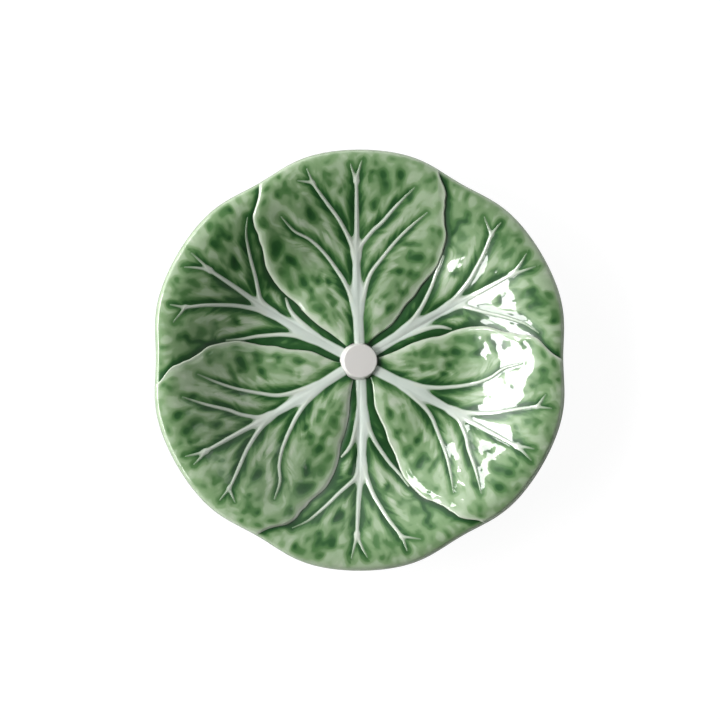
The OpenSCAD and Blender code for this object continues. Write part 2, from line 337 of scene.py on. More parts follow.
def slant_grain(f):
    """A faint grain that leaves the midrib slantwise and outwards on both sides."""
    middle = np.array(f.ribs[0])
    from_middle = f.v - np.interp(f.u, middle[:, 1], middle[:, 0])
    right_part = unit(from_middle / .02 + .5)
    grain = np.zeros(f.s.shape)
    for turn, part in ((GRAIN_SLANT, right_part), (-GRAIN_SLANT, 1 - right_part)):
        across = f.x * math.cos(turn) - f.y * math.sin(turn)
        away = f.x * math.sin(turn) + f.y * math.cos(turn)
        grain += part * (0.8 * ripples(across / 2.3 + .6 * f.warp_y, away / 7.0, f.seed + 21)
                         + 0.2 * ripples(across / 1.1 + .6 * f.warp_x, away / 4.5 + 3, f.seed + 22))
    return grain


def feathers(f, runs):
    """Feathers leave each rib slantwise, so the dark valley beside it has a ragged outer border with a pale
    crest beyond. Where two ribs are about as near, both count."""
    valley, crest, streaks, broads, total = (np.zeros(f.s.shape) for _ in range(5))
    closest = np.min([run[0] for run in runs], 0)
    for number, (gap, half, along, hand) in enumerate(runs):
        weight = unit(1.2 - (gap - closest) / 1.5)
        out = above(gap)
        lane = number * 13 + hand * 5
        run = along - out * FEATHER_SLANT + 1.2 * f.warp_x
        streak = (0.65 * ripples(run / 1.9, lane + out / 9, f.seed)
                  + 0.35 * ripples(run / .95, lane + out / 4, f.seed + 1))
        broad = ripples(run / 4.2, lane + out / 14, f.seed + 2)
        patch = ripples(run / 8.0, lane + out / 20, f.seed + 3)
        border = (2.3 + 1.0 * broad + .75 * streak) * np.clip(half / .8, .55, 1.1)
        dark = np.exp(-np.clip(out / np.clip(border, .5, None), 0, 9) ** 1.8)
        dark *= np.clip(.84 + .40 * patch + .15 * streak, .15, 1) * np.clip(half / .55, .35, 1)
        pale = bell(out - border - 1.6, 1.7)
        pale *= np.clip(.84 + .6 * broad + .75 * streak - .3 * patch, .03, 1.2)
        valley = np.maximum(valley, dark * weight)
        crest = np.maximum(crest, pale * weight)
        streaks += weight * streak
        broads += weight * broad
        total += weight
    valley *= 1 - .35 * bell(f.out, .28)
    crest *= 1 - .65 * unit((f.s - .68) / .16)
    return valley, crest, streaks / total, broads / total


def pressed_dimples(f, table):
    """The dimples of a table with wavering outlines: 0 outside them, and each one's depth in its middle."""
    v = f.v + .008 * f.warp_x + .005 * ripples(f.x / 2.2, f.y / 2.2, f.seed + 13)
    u = f.u + .008 * f.warp_y + .005 * ripples(f.x / 2.2, f.y / 2.2, f.seed + 14)
    dimple = np.zeros(f.s.shape)
    for dv, du, wide, tall, deep in table:
        reach = ((v - dv) / (wide * 1.12)) ** 2 + ((u - du) / (tall * 1.12)) ** 2
        dimple = np.maximum(dimple, deep * np.exp(-np.clip(reach, 0, 30)))
    return dimple


def survey(s, a, over):
    """What the height and the glaze of a leaf's face depend on, at a share of the radius and an angle
    from the leaf's axis. x runs to the right of the axis and y outwards, in mm; v and u are their shares."""
    f = SimpleNamespace(s=s, a=a, over=over)
    f.ribs, dimple_table, f.seed, f.base_glaze, f.grain_share = OVER_KIND if over else UNDER_KIND
    left, right = edges(s, over)
    limit = np.where(a > 0, left, right)
    f.side = unit(np.abs(a) / limit)
    f.edge = (limit - np.abs(a)) * s * PLATE_R
    f.v, f.u = -s * np.sin(a), s * np.cos(a)
    f.x, f.y = f.v * PLATE_R, f.u * PLATE_R
    f.gap, f.half, runs = rib_field(f.v, f.u, f.ribs)
    f.out = above(f.gap)
    f.warp_x, f.warp_y = (ripples(f.x / 7, f.y / 7, f.seed + k) for k in (11, 12))
    f.grain = slant_grain(f)
    f.valley, f.crest, f.streak, f.broad = feathers(f, runs)
    f.dimple = pressed_dimples(f, dimple_table)
    f.hollow = hammered(f.x / 4.4 + .4 * f.warp_x, f.y / 5.4 + .4 * f.warp_y, f.seed + 41)
    f.drift = ripples(f.x / 11, f.y / 11, f.seed + 6)
    f.open_blade = unit((f.out - 1.5) / 2.5)
    f.margin = unit((s - .78) / .14)
    return f


def carved_height(f):
    """Height of a leaf's face in mm."""
    s, edge = f.s, f.edge
    pillow = 1 - np.exp(-(f.out / 4.5) ** 1.5)
    pucker = (0.6 * ripples(f.x / 3.4 + f.drift, f.y / 5.0 + f.drift, f.seed + 7)
              + 0.4 * ripples(f.x / 1.9, f.y / 2.8, f.seed + 8))
    wave = ripples(f.x / 8.5 + 5, f.y / 8.5, f.seed + 15)
    calm = unit(edge / 3.5) * unit((1 - s) / .05) * unit((s - INNER) / .15)
    relief = (PILLOW_H * pillow - DITCH_H * bell(f.out, 1.6) + PUCKER_H * pucker * pillow * calm
              + WAVE_H * wave * pillow * calm - DIMPLE_H * f.dimple * (0.3 + 0.7 * calm)
              - HOLLOW_H * f.hollow * f.open_blade * calm)
    settled = unit(edge / 4.0)
    relief = relief * (1 - .45 * f.margin) * unit((1 - s) / .06) * settled * settled * (3 - 2 * settled)
    way_out = unit((s - INNER) / (1 - INNER))
    swell = (SWELL * np.sin(np.pi * way_out) * np.sin(np.pi * f.side)
             + RIM_LIFT * np.sin(np.pi * way_out ** RIM_LIFT_POWER))
    swell -= WALL_DIP * bell(s - WALL_DIP_AT, WALL_DIP_WIDE)
    height = seat(s) + LEAF_T + swell + relief
    if not f.over:
        # It rises a little to meet the leaf that laps it
        return height + .24 * bell(above(edge), 2.6) * unit((1 - s) / .05)
    # The left edge is rolled over; the right one lies lower, curls up a little and is cut crisper
    rolled = LAP_STEP * (1 - .18 * unit(1 - edge / 5) ** 2 - .46 * unit(1 - edge / 1.6) ** 2)
    curled = (LAP_STEP * (1 - .30 * unit(1 - edge / 9) ** 2 - .34 * unit(1 - edge / .6) ** 2)
              + .16 * bell(edge, 1.5))
    return height + np.where(f.a > 0, rolled, curled)


def laid_glaze(f):
    """How deep the glaze lies on a leaf's face, and the dark line along its edge: partly glaze pooled in the step,
    partly painted shade where one leaf laps the next.
    """
    s, edge = f.s, above(f.edge)
    blotch = (0.7 * ripples(f.x / 5.0 + .5 * f.warp_x, f.y / 6.5 + .5 * f.warp_y, f.seed + 31)
              + 0.3 * ripples(f.x / 2.6, f.y / 3.4 + f.warp_x, f.seed + 32))
    depth = (f.base_glaze + 0.05 * f.drift + (f.grain_share - .09 * s) * f.grain + 0.08 * blotch
             + 0.10 * f.broad * np.exp(-f.out / 7))
    outer_blade = unit((s - .5) / .2)
    spots = (.42 + .10 * outer_blade - .20 * f.margin) * f.hollow
    depth += f.open_blade * (spots - .12 - .10 * f.margin)
    depth -= 0.30 * unit(1 - s / .60)
    depth = toward(depth, CREST_GLAZE, .90 * unit(f.crest))
    depth = toward(depth, POOL_GLAZE - .16 * f.margin, 0.92 * unit(f.dimple * (1 + 0.2 * f.grain + 0.2 * blotch)))
    depth = toward(depth, POOL_GLAZE + .08 * f.streak, f.valley)
    rim = unit((s - .965) / .03) ** 1.5
    if f.over:
        fringe = unit((s - .12) / .1)
        pale = bell(edge, 2.2 + .9 * ripples(s * 20, s * 0, 34), 1.8) * fringe
        depth = toward(depth, LAP_GLAZE, 0.94 * pale * (1 - f.valley * .8))
        # Painted shade: a thin dark line on the lapping edge itself, for the shade in the step, with some pooled
        # glaze
        line = bell(edge, .12)
    else:
        fray = .35 * ripples(s * 60, np.sign(f.a), 36)
        pool = bell(edge, 2.6 + .7 * ripples(s * 14, np.sign(f.a), 35) + fray, 2.2)
        depth = toward(depth, POOL_GLAZE + .06 * f.grain, pool * (1 - .8 * rim))
        # Painted shade: a dark line on the under leaf in the crease beneath the lap, partly pooled glaze too
        line = bell(edge, .22)
    depth = toward(depth, RIM_GLAZE + .1 * blotch, .85 * rim)
    # Painted shade: the last strip of the lip is darkened all round, standing in for the shade where the edge turns
    # down
    depth = toward(depth, LIP_PAINTED_SHADE, .8 * unit((s - .992) / .006))
    hub = bell(above(s * PLATE_R - BUTTON_R), 1.1, 1.5)
    return toward(depth, HUB_GLAZE, .7 * hub), line * (1 - rim)


# Meshes

def plain_mesh(name, points, faces, values=None):
    """A mesh from points in mm, with named values on its points."""
    mesh = bpy.data.meshes.new(name)
    mesh.from_pydata((np.asarray(points, float) * MM).tolist(), [], [tuple(map(int, f)) for f in faces])
    for key, value in (values or {}).items():
        mesh.attributes.new(key, "FLOAT", "POINT").data.foreach_set("value", np.asarray(value, np.float32))
    mesh.polygons.foreach_set("use_smooth", np.ones(len(mesh.polygons), bool))
    return linked(name, mesh)


def linked(name, data):
    """An object in the scene for a mesh, lamp or lens."""
    thing = bpy.data.objects.new(name, data)
    bpy.context.scene.collection.objects.link(thing)
    return thing


def turn_outwards(mesh):
    """Turns every face of a closed mesh outwards."""
    bm = bmesh.new()
    bm.from_mesh(mesh)
    bmesh.ops.recalc_face_normals(bm, faces=bm.faces)
    bm.to_mesh(mesh)
    bm.free()


def leaf_grid(over):
    """Shares of the radius and angles of a leaf's fine grid, closer together along its edges and its lip."""
    rows, lip_rows, columns, edge_columns = 212, 8, 216, 9
    t = np.linspace(0, 1, rows)
    lip = np.sin(np.pi / 2 * np.arange(1, lip_rows + 1) / lip_rows)
    s = np.concatenate([INNER + (1 - LIP_W - INNER) * t, 1 - LIP_W + LIP_W * lip, [1]])
    left, right = edges(s, over)
    inset = np.minimum(2.2 / (s * PLATE_R), .2 * np.minimum(left, right))
    near = 1 - np.cos(np.pi / 2 * np.arange(edge_columns) / edge_columns)
    inner = np.linspace(0, 1, columns)
    angles = np.concatenate([
        -right[:, None] + inset[:, None] * near[None],
        (-right + inset)[:, None] + (left + right - 2 * inset)[:, None] * inner[None],
        left[:, None] - inset[:, None] * near[None][:, ::-1],
    ], 1)
    return np.repeat(s[:, None], angles.shape[1], 1), angles


def around(s, angles, z, tuck=0):
    """Points at shares of the radius and angles, inside the notched outline."""
    r = PLATE_R * s - draw_in(s, angles) - tuck
    return np.stack([r * np.cos(angles), r * np.sin(angles), z], -1)


def stitch(faces, upper, lower, kept):
    """Joins a fine edge to a coarse one: each long step below takes the short steps above it."""
    for k in range(len(kept) - 1):
        i, j = kept[k], kept[k + 1]
        mid = (i + j) // 2
        for m in range(i, mid):
            faces.append((upper[m], upper[m + 1], lower[k]))
        faces.append((lower[k], upper[mid], lower[k + 1]))
        for m in range(mid, j):
            faces.append((upper[m], upper[m + 1], lower[k + 1]))


def leaf_master(name, over):
    """One leaf along +X: a fine carved face with a rounded lip, and a coarse back that lies on the dish."""
    coarse = 6
    s, angles = leaf_grid(over)
    rows, columns = s.shape
    f = survey(s, angles, over)
    depth, line = laid_glaze(f)
    # Under the ribs the face sinks a little, so that it never shows through them
    height = carved_height(f) - 0.3 * unit((-f.gap - .1) / .3)
    seam = seat(np.array(1.0)) - .05
    nose = unit(1 - unit((s - 1 + LIP_W) / LIP_W) ** LIP_ROUND) ** (1 / LIP_ROUND)
    lip = seam + (height - seam) * nose
    top = np.where(s > 1 - LIP_W, np.maximum(lip, seat(s) + .02) if over else lip, height)
    # The last row goes on down behind the dish's edge, so that the two meet in one even line
    tuck = np.zeros(s.shape)
    tuck[-1] = SEAM_TUCK
    top[-1] = seam - SEAM_DEEP
    face = around(s, angles, top, tuck)
    keep_r = np.unique(np.concatenate([np.arange(0, rows, coarse), [rows - 1]]))
    keep_c = np.unique(np.concatenate([np.arange(0, columns, coarse), [columns - 1]]))
    back_s, back_a = s[np.ix_(keep_r, keep_c)], angles[np.ix_(keep_r, keep_c)]
    back_s[-1] = 1 - (SEAM_TUCK + .03) / PLATE_R
    back = around(back_s, back_a, seat(back_s))
    index = np.arange(rows * columns).reshape(rows, columns)
    low = rows * columns + np.arange(back_s.size).reshape(back_s.shape)
    faces = list(np.stack([index[:-1, :-1], index[1:, :-1], index[1:, 1:], index[:-1, 1:]], -1).reshape(-1, 4))
    faces += list(np.stack([low[:-1, :-1], low[:-1, 1:], low[1:, 1:], low[1:, :-1]], -1).reshape(-1, 4))
    stitch(faces, index[:, 0], low[:, 0], keep_r)
    stitch(faces, index[:, -1], low[:, -1], keep_r)
    stitch(faces, index[0], low[0], keep_c)
    stitch(faces, index[-1], low[-1], keep_c)
    spare = np.zeros(back_s.size)
    values = {
        "glaze_depth": np.concatenate([depth.ravel(), spare + .6]),
        "lap_pool_and_shade": np.concatenate([line.ravel(), spare]),
        "rim_thin": np.concatenate([unit((s.ravel() - .972) / .028), spare + 1]),
    }
    return plain_mesh(name, np.concatenate([face.reshape(-1, 3), back.reshape(-1, 3)]), faces, values)


# The ribs in mm: their grid's step, height over the leaf, rolled shoulder, lift, and depth in the leaf
RIB_STEP = 0.22
RIB_PROUD = .46
RIB_ROUND = 1.05
RIB_LIFT = .03
RIB_SUNK = .5
# Their span in shares of the radius: from, to, and to each side
RIB_FROM, RIB_TO, RIB_SIDE = .085, .965, .43


def measure(x, y, over):
    """What the ribs of a leaf are at points in mm: face height, distance from the outline, half width, share."""
    a, r = np.arctan2(y, x), np.hypot(x, y)
    s = (r + draw_in(r / PLATE_R, a)) / PLATE_R
    f = survey(s, a, over)
    # The leaf's own edges cut them off too
    return carved_height(f), np.maximum(f.gap, -f.edge + .05), f.half, s


def cut_grid(gx, gy, gap):
    """The part of a grid inside an outline, with new points where the outline crosses the grid's lines."""
    points, faces, known = [], [], {}
    inside = gap < 0

    def corner(i, j):
        key = (i, j)
        if key not in known:
            known[key] = len(points)
            points.append((gx[i], gy[j]))
        return known[key]

    def crossing(i, j, k, l):
        key = (i, j, k, l) if (i, j) < (k, l) else (k, l, i, j)
        if key not in known:
            a, b = gap[i, j], gap[k, l]
            t = np.clip(a / (a - b), .02, .98)
            known[key] = len(points)
            points.append((gx[i] + t * (gx[k] - gx[i]), gy[j] + t * (gy[l] - gy[j])))
        return known[key]
    busy = inside[:-1, :-1] | inside[1:, :-1] | inside[1:, 1:] | inside[:-1, 1:]
    for i, j in zip(*np.nonzero(busy)):
        ring = ((i, j), (i + 1, j), (i + 1, j + 1), (i, j + 1))
        signs = [inside[c] for c in ring]
        if all(signs):
            faces.append([corner(*c) for c in ring])
            continue
        if sum(signs) == 2 and signs[0] == signs[2]:
            # Two opposite corners: two separate triangles
            for k in range(4):
                if signs[k]:
                    before, here, after = ring[k - 1], ring[k], ring[(k + 1) % 4]
                    faces.append([crossing(*before, *here), corner(*here), crossing(*here, *after)])
            continue
        face = []
        for k in range(4):
            here, after = ring[k], ring[(k + 1) % 4]
            if signs[k]:
                face.append(corner(*here))
            if signs[k] != signs[(k + 1) % 4]:
                face.append(crossing(*here, *after))
        faces.append(face)
    return np.array(points), faces


def rib_master(name, over):
    """The ribs of one leaf along +X as one closed piece: a fine grid cut along the ribs' outline."""
    gx = np.arange(RIB_FROM * PLATE_R, RIB_TO * PLATE_R, RIB_STEP)
    gy = np.arange(-RIB_SIDE * PLATE_R, RIB_SIDE * PLATE_R, RIB_STEP)
    x, y = np.meshgrid(gx, gy, indexing="ij")
    flat, faces = cut_grid(gx, gy, measure(x, y, over)[1])
    height, gap, half, s = measure(flat[:, 0], flat[:, 1], over)
    deep = above(-gap)
    top = height + RIB_PROUD * (1 - bell(deep, RIB_ROUND, 1.3)) + RIB_LIFT
    bottom = np.maximum(height - RIB_SUNK, seat(s) + .1)
    count = len(flat)
    sides = {(f[k], f[(k + 1) % len(f)]) for f in faces for k in range(len(f))}
    walls = [(a, b, b + count, a + count) for f in faces for a, b in zip(f, f[1:] + f[:1]) if (b, a) not in sides]
    solid = [tuple(f) for f in faces] + [tuple(q + count for q in reversed(f)) for f in faces]
    solid += [(b, a, a2, b2) for a, b, b2, a2 in walls]
    both = np.concatenate([np.column_stack([flat, top]), np.column_stack([flat, bottom])])
    values = {
        "rib_heart": np.concatenate([deep, np.zeros(count)]),
        "rib_broad": np.concatenate([half, half]),
    }
    return plain_mesh(name, both, solid, values)


# Node trees

class Wiring:
    """Short words for wiring nodes in one tree."""

    def __init__(self, tree):
        self.tree = tree

    def add(self, kind, **settings):
        node = self.tree.nodes.new(kind)
        for key, value in settings.items():
            setattr(node, key, value)
        return node

    def put(self, source, node, socket):
        target = node.inputs[socket]
        if isinstance(source, bpy.types.NodeSocket):
            self.tree.links.new(source, target)
        else:
            target.default_value = source

    def put_all(self, node, sources):
        for socket, source in sources.items():
            self.put(source, node, socket)
        return node

    def math(self, operation, *values, clamp=False):
        node = self.add("ShaderNodeMath", operation=operation, use_clamp=clamp)
        return self.put_all(node, dict(enumerate(values))).outputs[0]

    def times(self, *values):
        return self.math("MULTIPLY", *values)

    def plus(self, *values):
        return self.math("ADD", *values)

    def minus(self, *values):
        return self.math("SUBTRACT", *values)

    def split(self, vector):
        return self.put_all(self.add("ShaderNodeSeparateXYZ"), {0: vector}).outputs

    def vector(self, places):
        return self.put_all(self.add("ShaderNodeCombineXYZ"), places).outputs[0]

    def noise(self, place, scale, detail, **more):
        node = self.add("ShaderNodeTexNoise", **more)
        return self.put_all(node, {"Vector": place, "Scale": scale, "Detail": detail})


def tree_of(name, inputs):
    """A new Geometry Nodes tree: its wiring, the values given to it, and its end."""
    tree = bpy.data.node_groups.new(name, "GeometryNodeTree")
    for label, kind, value in inputs:
        socket = tree.interface.new_socket(label, in_out="INPUT", socket_type=kind)
        if value is not None:
            socket.default_value = value
    tree.interface.new_socket("Geometry", in_out="OUTPUT", socket_type="NodeSocketGeometry")
    return Wiring(tree), tree.nodes.new("NodeGroupInput").outputs, tree.nodes.new("NodeGroupOutput")


def dress(w, geometry, glaze, end):
    """The last steps of both trees: real geometry in its material."""
    real = w.put_all(w.add("GeometryNodeRealizeInstances"), {0: geometry})
    dressed = w.put_all(w.add("GeometryNodeSetMaterial"), {"Geometry": real.outputs[0], "Material": glaze})
    w.put(dressed.outputs[0], end, 0)


def laying_tree():
    """Lays a leaf or its ribs round the plate: a fine uneven skin of glaze, then the turn to its place."""
    w, given, end = tree_of("lay_round", (
        ("Master", "NodeSocketObject", None), ("Turn", "NodeSocketFloat", 0.0),
        ("Skin height", "NodeSocketFloat", 0.00003), ("Skin scale", "NodeSocketFloat", 260.0),
        ("Seed", "NodeSocketFloat", 0.0), ("Glaze", "NodeSocketMaterial", None)))
    master = w.put_all(w.add("GeometryNodeObjectInfo"), {"Object": given["Master"]})
    place = w.split(w.add("GeometryNodeInputPosition").outputs[0])
    noise = w.noise(w.vector({0: place[0], 1: place[1]}), given["Skin scale"], 1.5, noise_dimensions="4D")
    w.put(given["Seed"], noise, "W")
    lift = w.times(w.minus(noise.outputs[0], 0.5), w.times(given["Skin height"], 2.0))
    skin = w.put_all(w.add("GeometryNodeSetPosition"),
                     {"Geometry": master.outputs["Geometry"], "Offset": w.vector({2: lift})})
    lay = w.put_all(w.add("GeometryNodeTransform"),
                    {"Geometry": skin.outputs[0], "Rotation": w.vector({2: given["Turn"]})})
    dress(w, lay.outputs[0], given["Glaze"], end)
    return w.tree


WELD = 0.000002


def wheel_tree():
    """The potter's wheel: turns a profile, and draws it in at the notches of a lobed rim."""
    w, given, end = tree_of("potters_wheel", (
        ("Profile", "NodeSocketObject", None), ("Steps", "NodeSocketInt", 256), ("Lobes", "NodeSocketInt", LOBES),
        ("Notch depth", "NodeSocketFloat", 0.0), ("Notch power", "NodeSocketFloat", float(NOTCH_POWER)),
        ("Notch fade", "NodeSocketFloat", float(NOTCH_FADE)), ("Radius", "NodeSocketFloat", PLATE_R * MM),
        ("Lean", "NodeSocketFloat", 0.0), ("Upright height", "NodeSocketFloat", 0.0),
        ("Glaze", "NodeSocketMaterial", None)))
    profile = w.put_all(w.add("GeometryNodeObjectInfo"), {"Object": given["Profile"]}).outputs["Geometry"]
    points = w.put_all(w.add("GeometryNodeAttributeDomainSize", component="MESH"), {0: profile}).outputs[0]
    last = w.minus(points, 1.0)
    grid = w.put_all(w.add("GeometryNodeMeshGrid"), {
        "Size X": last, "Size Y": given["Steps"], "Vertices X": points, "Vertices Y": w.plus(given["Steps"], 1.0)})
    # A grid point's column is its point on the profile, and its row is its step round the wheel
    place = w.split(w.add("GeometryNodeInputPosition").outputs[0])
    column = w.math("ROUND", w.plus(place[0], w.times(last, 0.5)))
    angle = w.times(w.plus(w.math("DIVIDE", place[1], given["Steps"]), 0.5), 2 * math.pi)
    sample = w.put_all(w.add("GeometryNodeSampleIndex", data_type="FLOAT_VECTOR", domain="POINT"), {
        "Geometry": profile, "Value": w.add("GeometryNodeInputPosition").outputs[0], "Index": column})
    spot = w.split(sample.outputs[0])
    radius, height = spot[0], spot[2]
    wave = w.math("COSINE", w.times(angle, given["Lobes"]))
    notch = w.math("POWER", w.times(w.plus(wave, 1.0), 0.5), given["Notch power"])
    fade = w.math("POWER", w.math("DIVIDE", radius, given["Radius"]), given["Notch fade"])
    reach = w.minus(radius, w.times(w.times(notch, fade), given["Notch depth"]))
    lean = w.times(w.minus(height, given["Upright height"]), given["Lean"])
    spread = w.vector({0: w.plus(w.times(reach, w.math("COSINE", angle)), lean),
                       1: w.times(reach, w.math("SINE", angle)), 2: height})
    thrown = w.put_all(w.add("GeometryNodeSetPosition"), {"Geometry": grid.outputs["Mesh"], "Position": spread})
    close = w.put_all(w.add("GeometryNodeMergeByDistance"), {"Geometry": thrown.outputs[0], "Distance": WELD})
    smooth = w.put_all(w.add("GeometryNodeSetShadeSmooth"), {"Geometry": close.outputs[0]})
    dress(w, smooth.outputs[0], given["Glaze"], end)
    return w.tree


def grow(name, tree, settings):
    """Runs a tree on an empty mesh and returns the plain piece that comes out."""
    holder = linked(name + "_growing", bpy.data.meshes.new(name + "_seed"))
    modifier = holder.modifiers.new("grow", "NODES")
    modifier.node_group = tree
    for item in tree.interface.items_tree:
        if item.in_out == "INPUT" and item.name in settings:
            modifier[item.identifier] = settings[item.name]
    bpy.context.view_layer.update()
    graph = bpy.context.evaluated_depsgraph_get()
    mesh = bpy.data.meshes.new_from_object(holder.evaluated_get(graph), preserve_all_data_layers=True,
                                           depsgraph=graph)
    mesh.name = name
    bpy.data.objects.remove(holder)
    turn_outwards(mesh)
    return linked(name, mesh)


def throw(name, profile, settings):
    """A round piece from its profile: distance from the axis and height of each point, in mm."""
    mesh = bpy.data.meshes.new(name + "_profile")
    mesh.from_pydata([(r * MM, 0, z * MM) for r, z in profile],
                     [(i, i + 1) for i in range(len(profile) - 1)], [])
    line = linked(name + "_profile", mesh)
    piece = grow(name, WHEEL, {"Profile": line, **settings})
    bpy.data.objects.remove(line)
    return piece


def rounded(corners, steps=6):
    """A profile with its corners rounded: each corner is (r, z, radius)."""
    out = []
    for k, (r, z, radius) in enumerate(corners):
        if radius == 0 or k in (0, len(corners) - 1):
            out.append((r, z))
            continue
        here = Vector((r, z))
        before = (Vector(corners[k - 1][:2]) - here).normalized() * radius + here
        after = (Vector(corners[k + 1][:2]) - here).normalized() * radius + here
        for t in np.linspace(0, 1, steps + 1):
            p = before * (1 - t) ** 2 + here * 2 * t * (1 - t) + after * t ** 2
            out.append((p.x, p.y))
    return out


# Materials

def linear(*rgb):
    """A colour as the render wants it, from the red, green and blue that a screen shows."""
    return tuple(((c / 255 + .055) / 1.055) ** 2.4 for c in rgb) + (1.0,)


GREENS = ((0.0, linear(203, 217, 192)), (.16, linear(176, 200, 162)), (.34, linear(137, 171, 121)),
          (.55, linear(88, 133, 76)), (.76, linear(43, 93, 43)), (1.0, linear(14, 60, 25)))


def glaze_group():
    """How a glaze lies: how deep, its wavy skin with pinholes, and where it is rougher."""
    pinhole_scale, pinhole_wide, pinhole_deep, wave_scale = 180.0, .035, .6, 300.0
    tree = bpy.data.node_groups.new("pooled_glaze", "ShaderNodeTree")
    wants = {"Depth": .5, "Mottle": .1, "Mottle scale": 500.0, "Cloud": .08, "Cloud scale": 60.0}
    for label, value in wants.items():
        tree.interface.new_socket(label, in_out="INPUT", socket_type="NodeSocketFloat").default_value = value
    for label in ("Depth", "Height", "Roughness"):
        tree.interface.new_socket(label, in_out="OUTPUT", socket_type="NodeSocketFloat")
    given, end = tree.nodes.new("NodeGroupInput").outputs, tree.nodes.new("NodeGroupOutput")
    w = Wiring(tree)
    place = w.add("ShaderNodeTexCoord").outputs["Object"]
    fine = w.noise(place, given["Mottle scale"], 2.5).outputs[0]
    cloud = w.noise(place, given["Cloud scale"], 3.0).outputs[0]
    mottle = w.times(w.minus(fine, .5), w.times(given["Mottle"], 2.0))
    clouds = w.times(w.minus(cloud, .5), w.times(given["Cloud"], 2.0))
    pin = w.put_all(w.add("ShaderNodeTexVoronoi", feature="F1"), {"Vector": place, "Scale": pinhole_scale})
    hole = w.math("LESS_THAN", pin.outputs["Distance"], pinhole_wide)
    wave = w.noise(place, wave_scale, 1.0).outputs[0]
    w.put_all(end, {
        "Depth": w.math("ADD", given["Depth"], w.plus(mottle, clouds), clamp=True),
        "Height": w.minus(wave, w.times(hole, pinhole_deep)),
        "Roughness": w.plus(w.times(fine, .08), .30),
    })
    return tree


def read(w, name):
    """A value that the mesh carries at each point."""
    return w.add("ShaderNodeAttribute", attribute_type="GEOMETRY", attribute_name=name).outputs["Fac"]


def mix(w, share, a, b):
    """The first colour, and the second by a share."""
    return w.put_all(w.add("ShaderNodeMix", data_type="RGBA"), {0: share, 6: a, 7: b}).outputs[2]


def ramp(w, value, stops):
    """A colour for a value, eased between stops."""
    node = w.add("ShaderNodeValToRGB")
    node.color_ramp.interpolation = "EASE"
    bar = node.color_ramp.elements
    bar[0].position, bar[0].color = stops[0]
    bar[1].position, bar[1].color = stops[-1]
    for position, colour in stops[1:-1]:
        bar.new(position).color = colour
    w.put(value, node, 0)
    return node.outputs[0]


def shaded(name, constants):
    """A material with plain values on its shader."""
    material = bpy.data.materials.new(name)
    material.use_nodes = True
    shader = material.node_tree.nodes["Principled BSDF"]
    for socket, value in constants.items():
        shader.inputs[socket].default_value = value
    return material, Wiring(material.node_tree), shader


def glazed(name, wants, coat=1.0, bump=.25):
    """A glazed material without its colour yet, and the node that says how its glaze lies."""
    material, w, shader = shaded(name, {
        "IOR": 1.5, "Coat Weight": coat, "Coat Roughness": .03, "Coat IOR": 1.6})
    lie = w.put_all(w.add("ShaderNodeGroup", node_tree=GLAZE), wants)
    relief = w.put_all(w.add("ShaderNodeBump"), {
        "Strength": bump, "Distance": .0002, "Height": lie.outputs["Height"]})
    w.put_all(shader, {"Normal": relief.outputs[0], "Roughness": lie.outputs["Roughness"]})
    return material, w, shader, lie


def leaf_glaze():
    """Green that deepens in the hollows, browner along the laps where pooled glaze and painted shade are laid on,
    and thin at the rim.
    """
    material, w, shader, lie = glazed("leaf_glaze", {"Mottle": .055, "Mottle scale": 420.0, "Cloud": .05})
    w.put(read(w, "glaze_depth"), lie, "Depth")
    green = ramp(w, lie.outputs["Depth"], GREENS)
    # Painted shade along the lap edges, mixed with pooled glaze: the dark line pulls the green towards brown
    brown = mix(w, w.times(read(w, "lap_pool_and_shade"), .35), green, linear(28, 48, 20))
    thin = mix(w, w.times(read(w, "rim_thin"), .5), brown, linear(172, 184, 160))
    w.put(thin, shader, "Base Color")
    return material


def rib_glaze():
    """White where a rib is broad, greener where it is slim and along its edges."""
    material, w, shader, lie = glazed("rib_glaze", {"Depth": .5, "Mottle": .08, "Mottle scale": 260.0})
    heart, half = read(w, "rib_heart"), read(w, "rib_broad")
    broad = w.math("MULTIPLY", w.minus(half, .6), 1.0, clamp=True)
    slim = w.math("MULTIPLY", w.minus(.62, half), 2.8, clamp=True)
    white = mix(w, broad, linear(233, 240, 224), linear(233, 242, 232))
    pooled = w.math("MULTIPLY", w.minus(lie.outputs["Depth"], .45), 2.5, clamp=True)
    tint = mix(w, slim, mix(w, pooled, white, linear(186, 211, 195)), linear(136, 164, 120))
    edge = w.math("SUBTRACT", 1.0, w.math("DIVIDE", heart, .50), clamp=True)
    w.put(mix(w, w.times(edge, .85), tint, linear(128, 160, 122)), shader, "Base Color")
    return material


def button_glaze():
    """Off-white with faint clouds."""
    material, w, shader, lie = glazed("button_glaze", {"Depth": .5, "Mottle": .25, "Mottle scale": 160.0}, bump=.15)
    w.put(mix(w, lie.outputs["Depth"], linear(238, 235, 231), linear(230, 227, 222)), shader, "Base Color")
    return material


def dish_glaze():
    """Deep green under the plate, and paler up to the rim."""
    pale_from, pale_over = .003, .019
    material, w, shader, lie = glazed("dish_glaze", {
        "Mottle": .16, "Mottle scale": 150.0, "Cloud": .22, "Cloud scale": 45.0})
    level = w.split(w.add("ShaderNodeTexCoord").outputs["Object"])[2]
    climb = w.math("DIVIDE", w.minus(level, pale_from), pale_over, clamp=True)
    w.put(w.minus(.80, w.times(w.math("POWER", climb, 3.0), .55)), lie, "Depth")
    w.put(ramp(w, lie.outputs["Depth"], GREENS), shader, "Base Color")
    return material


